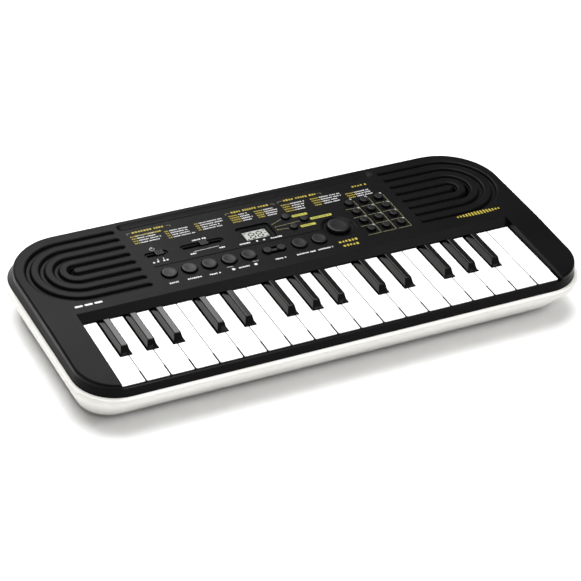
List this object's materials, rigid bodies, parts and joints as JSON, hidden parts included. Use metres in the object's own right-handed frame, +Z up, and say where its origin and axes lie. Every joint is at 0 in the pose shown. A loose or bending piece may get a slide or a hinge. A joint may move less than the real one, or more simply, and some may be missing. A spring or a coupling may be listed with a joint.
{
  "type": "toy electronic keyboard",
  "caption": "Small portable electronic keyboard: black upper case with mini keys, display, buttons, sliders and two speaker grilles on a tapered white lower case.",
  "frame": {"origin": "middle of the case at floor level, under the centre of its bounding box", "axes": "+X towards the treble end, +Y towards the rear, +Z up"},
  "size_m": [0.446, 0.208, 0.051],
  "materials": {
    "case_black": "fine textured",
    "case_white": "smooth satin",
    "key_white": "polished",
    "key_black": "polished",
    "button_black": "satin",
    "frame_plastic": "moulded",
    "contact_rubber": "matt",
    "board": "solder resist",
    "display": "flat",
    "window": "smoked",
    "speaker_metal": "plated",
    "cone_paper": "paper",
    "socket_black": "moulded",
    "foot_rubber": "matt",
    "screw_steel": "plated"
  },
  "bodies": {
    "case": {"top_case": "case_black", "bottom_case": "case_white", "key_frame": "frame_plastic", "key_contacts": "contact_rubber", "main_board": "board", "display_module": "display", "display_window": "window", "speaker_frames": "speaker_metal", "speaker_cones": "cone_paper", "rear_sockets": "socket_black", "feet": "foot_rubber", "case_screws": "screw_steel"},
    "white_key_01": {"white_key_01": "key_white"},
    "white_key_02": {"white_key_02": "key_white"},
    "white_key_03": {"white_key_03": "key_white"},
    "white_key_04": {"white_key_04": "key_white"},
    "white_key_05": {"white_key_05": "key_white"},
    "white_key_06": {"white_key_06": "key_white"},
    "white_key_07": {"white_key_07": "key_white"},
    "white_key_08": {"white_key_08": "key_white"},
    "white_key_09": {"white_key_09": "key_white"},
    "white_key_10": {"white_key_10": "key_white"},
    "white_key_11": {"white_key_11": "key_white"},
    "white_key_12": {"white_key_12": "key_white"},
    "white_key_13": {"white_key_13": "key_white"},
    "white_key_14": {"white_key_14": "key_white"},
    "white_key_15": {"white_key_15": "key_white"},
    "white_key_16": {"white_key_16": "key_white"},
    "white_key_17": {"white_key_17": "key_white"},
    "white_key_18": {"white_key_18": "key_white"},
    "white_key_19": {"white_key_19": "key_white"},
    "black_key_01": {"black_key_01": "key_black"},
    "black_key_02": {"black_key_02": "key_black"},
    "black_key_03": {"black_key_03": "key_black"},
    "black_key_04": {"black_key_04": "key_black"},
    "black_key_05": {"black_key_05": "key_black"},
    "black_key_06": {"black_key_06": "key_black"},
    "black_key_07": {"black_key_07": "key_black"},
    "black_key_08": {"black_key_08": "key_black"},
    "black_key_09": {"black_key_09": "key_black"},
    "black_key_10": {"black_key_10": "key_black"},
    "black_key_11": {"black_key_11": "key_black"},
    "black_key_12": {"black_key_12": "key_black"},
    "black_key_13": {"black_key_13": "key_black"},
    "start_stop_button": {"start_stop_button": "button_black"},
    "row_button_1": {"row_button_1": "button_black"},
    "row_button_2": {"row_button_2": "button_black"},
    "row_button_3": {"row_button_3": "button_black"},
    "row_button_4": {"row_button_4": "button_black"},
    "row_button_5": {"row_button_5": "button_black"},
    "row_button_6": {"row_button_6": "button_black"},
    "row_button_7": {"row_button_7": "button_black"},
    "mode_button_1": {"mode_button_1": "button_black"},
    "mode_button_2": {"mode_button_2": "button_black"},
    "mode_button_3": {"mode_button_3": "button_black"},
    "number_pad": {"number_pad": "button_black"},
    "tempo_rocker": {"tempo_rocker": "button_black"},
    "power_slider": {"power_slider": "button_black"},
    "volume_slider": {"volume_slider": "button_black"},
    "battery_door": {"battery_door": "case_white"}
  },
  "joints": [
    {"name": "white_key_01_hinge", "type": "hinge", "parent": "case", "child": "white_key_01", "pos_m": [-0.18142, 0.014, 0.036], "axis": [1, 0, 0], "range_deg": [0, 3.2], "stiffness_Nm_per_rad": 0.4, "springref_deg": -3.44},
    {"name": "white_key_02_hinge", "type": "hinge", "parent": "case", "child": "white_key_02", "pos_m": [-0.16126, 0.014, 0.036], "axis": [1, 0, 0], "range_deg": [0, 3.2], "stiffness_Nm_per_rad": 0.4, "springref_deg": -3.44},
    {"name": "white_key_03_hinge", "type": "hinge", "parent": "case", "child": "white_key_03", "pos_m": [-0.14111, 0.014, 0.036], "axis": [1, 0, 0], "range_deg": [0, 3.2], "stiffness_Nm_per_rad": 0.4, "springref_deg": -3.44},
    {"name": "white_key_04_hinge", "type": "hinge", "parent": "case", "child": "white_key_04", "pos_m": [-0.12095, 0.014, 0.036], "axis": [1, 0, 0], "range_deg": [0, 3.2], "stiffness_Nm_per_rad": 0.4, "springref_deg": -3.44},
    {"name": "white_key_05_hinge", "type": "hinge", "parent": "case", "child": "white_key_05", "pos_m": [-0.10079, 0.014, 0.036], "axis": [1, 0, 0], "range_deg": [0, 3.2], "stiffness_Nm_per_rad": 0.4, "springref_deg": -3.44},
    {"name": "white_key_06_hinge", "type": "hinge", "parent": "case", "child": "white_key_06", "pos_m": [-0.08063, 0.014, 0.036], "axis": [1, 0, 0], "range_deg": [0, 3.2], "stiffness_Nm_per_rad": 0.4, "springref_deg": -3.44},
    {"name": "white_key_07_hinge", "type": "hinge", "parent": "case", "child": "white_key_07", "pos_m": [-0.06047, 0.014, 0.036], "axis": [1, 0, 0], "range_deg": [0, 3.2], "stiffness_Nm_per_rad": 0.4, "springref_deg": -3.44},
    {"name": "white_key_08_hinge", "type": "hinge", "parent": "case", "child": "white_key_08", "pos_m": [-0.04032, 0.014, 0.036], "axis": [1, 0, 0], "range_deg": [0, 3.2], "stiffness_Nm_per_rad": 0.4, "springref_deg": -3.44},
    {"name": "white_key_09_hinge", "type": "hinge", "parent": "case", "child": "white_key_09", "pos_m": [-0.02016, 0.014, 0.036], "axis": [1, 0, 0], "range_deg": [0, 3.2], "stiffness_Nm_per_rad": 0.4, "springref_deg": -3.44},
    {"name": "white_key_10_hinge", "type": "hinge", "parent": "case", "child": "white_key_10", "pos_m": [0, 0.014, 0.036], "axis": [1, 0, 0], "range_deg": [0, 3.2], "stiffness_Nm_per_rad": 0.4, "springref_deg": -3.44},
    {"name": "white_key_11_hinge", "type": "hinge", "parent": "case", "child": "white_key_11", "pos_m": [0.02016, 0.014, 0.036], "axis": [1, 0, 0], "range_deg": [0, 3.2], "stiffness_Nm_per_rad": 0.4, "springref_deg": -3.44},
    {"name": "white_key_12_hinge", "type": "hinge", "parent": "case", "child": "white_key_12", "pos_m": [0.04032, 0.014, 0.036], "axis": [1, 0, 0], "range_deg": [0, 3.2], "stiffness_Nm_per_rad": 0.4, "springref_deg": -3.44},
    {"name": "white_key_13_hinge", "type": "hinge", "parent": "case", "child": "white_key_13", "pos_m": [0.06047, 0.014, 0.036], "axis": [1, 0, 0], "range_deg": [0, 3.2], "stiffness_Nm_per_rad": 0.4, "springref_deg": -3.44},
    {"name": "white_key_14_hinge", "type": "hinge", "parent": "case", "child": "white_key_14", "pos_m": [0.08063, 0.014, 0.036], "axis": [1, 0, 0], "range_deg": [0, 3.2], "stiffness_Nm_per_rad": 0.4, "springref_deg": -3.44},
    {"name": "white_key_15_hinge", "type": "hinge", "parent": "case", "child": "white_key_15", "pos_m": [0.10079, 0.014, 0.036], "axis": [1, 0, 0], "range_deg": [0, 3.2], "stiffness_Nm_per_rad": 0.4, "springref_deg": -3.44},
    {"name": "white_key_16_hinge", "type": "hinge", "parent": "case", "child": "white_key_16", "pos_m": [0.12095, 0.014, 0.036], "axis": [1, 0, 0], "range_deg": [0, 3.2], "stiffness_Nm_per_rad": 0.4, "springref_deg": -3.44},
    {"name": "white_key_17_hinge", "type": "hinge", "parent": "case", "child": "white_key_17", "pos_m": [0.14111, 0.014, 0.036], "axis": [1, 0, 0], "range_deg": [0, 3.2], "stiffness_Nm_per_rad": 0.4, "springref_deg": -3.44},
    {"name": "white_key_18_hinge", "type": "hinge", "parent": "case", "child": "white_key_18", "pos_m": [0.16126, 0.014, 0.036], "axis": [1, 0, 0], "range_deg": [0, 3.2], "stiffness_Nm_per_rad": 0.4, "springref_deg": -3.44},
    {"name": "white_key_19_hinge", "type": "hinge", "parent": "case", "child": "white_key_19", "pos_m": [0.18142, 0.014, 0.036], "axis": [1, 0, 0], "range_deg": [0, 3.2], "stiffness_Nm_per_rad": 0.4, "springref_deg": -3.44},
    {"name": "black_key_01_hinge", "type": "hinge", "parent": "case", "child": "black_key_01", "pos_m": [-0.17314, 0.014, 0.036], "axis": [1, 0, 0], "range_deg": [0, 3.2], "stiffness_Nm_per_rad": 0.3, "springref_deg": -3.44},
    {"name": "black_key_02_hinge", "type": "hinge", "parent": "case", "child": "black_key_02", "pos_m": [-0.15118, 0.014, 0.036], "axis": [1, 0, 0], "range_deg": [0, 3.2], "stiffness_Nm_per_rad": 0.3, "springref_deg": -3.44},
    {"name": "black_key_03_hinge", "type": "hinge", "parent": "case", "child": "black_key_03", "pos_m": [-0.12923, 0.014, 0.036], "axis": [1, 0, 0], "range_deg": [0, 3.2], "stiffness_Nm_per_rad": 0.3, "springref_deg": -3.44},
    {"name": "black_key_04_hinge", "type": "hinge", "parent": "case", "child": "black_key_04", "pos_m": [-0.09251, 0.014, 0.036], "axis": [1, 0, 0], "range_deg": [0, 3.2], "stiffness_Nm_per_rad": 0.3, "springref_deg": -3.44},
    {"name": "black_key_05_hinge", "type": "hinge", "parent": "case", "child": "black_key_05", "pos_m": [-0.06875, 0.014, 0.036], "axis": [1, 0, 0], "range_deg": [0, 3.2], "stiffness_Nm_per_rad": 0.3, "springref_deg": -3.44},
    {"name": "black_key_06_hinge", "type": "hinge", "parent": "case", "child": "black_key_06", "pos_m": [-0.03204, 0.014, 0.036], "axis": [1, 0, 0], "range_deg": [0, 3.2], "stiffness_Nm_per_rad": 0.3, "springref_deg": -3.44},
    {"name": "black_key_07_hinge", "type": "hinge", "parent": "case", "child": "black_key_07", "pos_m": [-0.01008, 0.014, 0.036], "axis": [1, 0, 0], "range_deg": [0, 3.2], "stiffness_Nm_per_rad": 0.3, "springref_deg": -3.44},
    {"name": "black_key_08_hinge", "type": "hinge", "parent": "case", "child": "black_key_08", "pos_m": [0.01188, 0.014, 0.036], "axis": [1, 0, 0], "range_deg": [0, 3.2], "stiffness_Nm_per_rad": 0.3, "springref_deg": -3.44},
    {"name": "black_key_09_hinge", "type": "hinge", "parent": "case", "child": "black_key_09", "pos_m": [0.04859, 0.014, 0.036], "axis": [1, 0, 0], "range_deg": [0, 3.2], "stiffness_Nm_per_rad": 0.3, "springref_deg": -3.44},
    {"name": "black_key_10_hinge", "type": "hinge", "parent": "case", "child": "black_key_10", "pos_m": [0.07235, 0.014, 0.036], "axis": [1, 0, 0], "range_deg": [0, 3.2], "stiffness_Nm_per_rad": 0.3, "springref_deg": -3.44},
    {"name": "black_key_11_hinge", "type": "hinge", "parent": "case", "child": "black_key_11", "pos_m": [0.10907, 0.014, 0.036], "axis": [1, 0, 0], "range_deg": [0, 3.2], "stiffness_Nm_per_rad": 0.3, "springref_deg": -3.44},
    {"name": "black_key_12_hinge", "type": "hinge", "parent": "case", "child": "black_key_12", "pos_m": [0.13103, 0.014, 0.036], "axis": [1, 0, 0], "range_deg": [0, 3.2], "stiffness_Nm_per_rad": 0.3, "springref_deg": -3.44},
    {"name": "black_key_13_hinge", "type": "hinge", "parent": "case", "child": "black_key_13", "pos_m": [0.15298, 0.014, 0.036], "axis": [1, 0, 0], "range_deg": [0, 3.2], "stiffness_Nm_per_rad": 0.3, "springref_deg": -3.44},
    {"name": "start_stop_button_press", "type": "slide", "parent": "case", "child": "start_stop_button", "axis": [0, 0, -1], "range_m": [0, 0.0015], "stiffness_N_per_m": 300, "springref_m": -0.0015},
    {"name": "row_button_1_press", "type": "slide", "parent": "case", "child": "row_button_1", "axis": [0, 0, -1], "range_m": [0, 0.0015], "stiffness_N_per_m": 300, "springref_m": -0.0015},
    {"name": "row_button_2_press", "type": "slide", "parent": "case", "child": "row_button_2", "axis": [0, 0, -1], "range_m": [0, 0.0015], "stiffness_N_per_m": 300, "springref_m": -0.0015},
    {"name": "row_button_3_press", "type": "slide", "parent": "case", "child": "row_button_3", "axis": [0, 0, -1], "range_m": [0, 0.0015], "stiffness_N_per_m": 300, "springref_m": -0.0015},
    {"name": "row_button_4_press", "type": "slide", "parent": "case", "child": "row_button_4", "axis": [0, 0, -1], "range_m": [0, 0.0015], "stiffness_N_per_m": 300, "springref_m": -0.0015},
    {"name": "row_button_5_press", "type": "slide", "parent": "case", "child": "row_button_5", "axis": [0, 0, -1], "range_m": [0, 0.0015], "stiffness_N_per_m": 300, "springref_m": -0.0015},
    {"name": "row_button_6_press", "type": "slide", "parent": "case", "child": "row_button_6", "axis": [0, 0, -1], "range_m": [0, 0.0015], "stiffness_N_per_m": 300, "springref_m": -0.0015},
    {"name": "row_button_7_press", "type": "slide", "parent": "case", "child": "row_button_7", "axis": [0, 0, -1], "range_m": [0, 0.0015], "stiffness_N_per_m": 300, "springref_m": -0.0015},
    {"name": "mode_button_1_press", "type": "slide", "parent": "case", "child": "mode_button_1", "axis": [0, 0, -1], "range_m": [0, 0.0015], "stiffness_N_per_m": 300, "springref_m": -0.0015},
    {"name": "mode_button_2_press", "type": "slide", "parent": "case", "child": "mode_button_2", "axis": [0, 0, -1], "range_m": [0, 0.0015], "stiffness_N_per_m": 300, "springref_m": -0.0015},
    {"name": "mode_button_3_press", "type": "slide", "parent": "case", "child": "mode_button_3", "axis": [0, 0, -1], "range_m": [0, 0.0015], "stiffness_N_per_m": 300, "springref_m": -0.0015},
    {"name": "number_pad_press", "type": "slide", "parent": "case", "child": "number_pad", "axis": [0, 0, -1], "range_m": [0, 0.0015], "stiffness_N_per_m": 300, "springref_m": -0.0015},
    {"name": "tempo_rocker_tilt", "type": "hinge", "parent": "case", "child": "tempo_rocker", "pos_m": [-0.01075, 0.0167, 0.0442], "axis": [0, 1, 0], "range_deg": [-5, 5], "stiffness_Nm_per_rad": 0.05},
    {"name": "power_slider_slide", "type": "slide", "parent": "case", "child": "power_slider", "axis": [1, 0, 0], "range_m": [-0.0064, 0.0022]},
    {"name": "volume_slider_slide", "type": "slide", "parent": "case", "child": "volume_slider", "axis": [1, 0, 0], "range_m": [-0.0144, 0.0122]},
    {"name": "battery_door_slide", "type": "slide", "parent": "case", "child": "battery_door", "axis": [1, 0, 0], "range_m": [0, 0.011]}
  ]
}
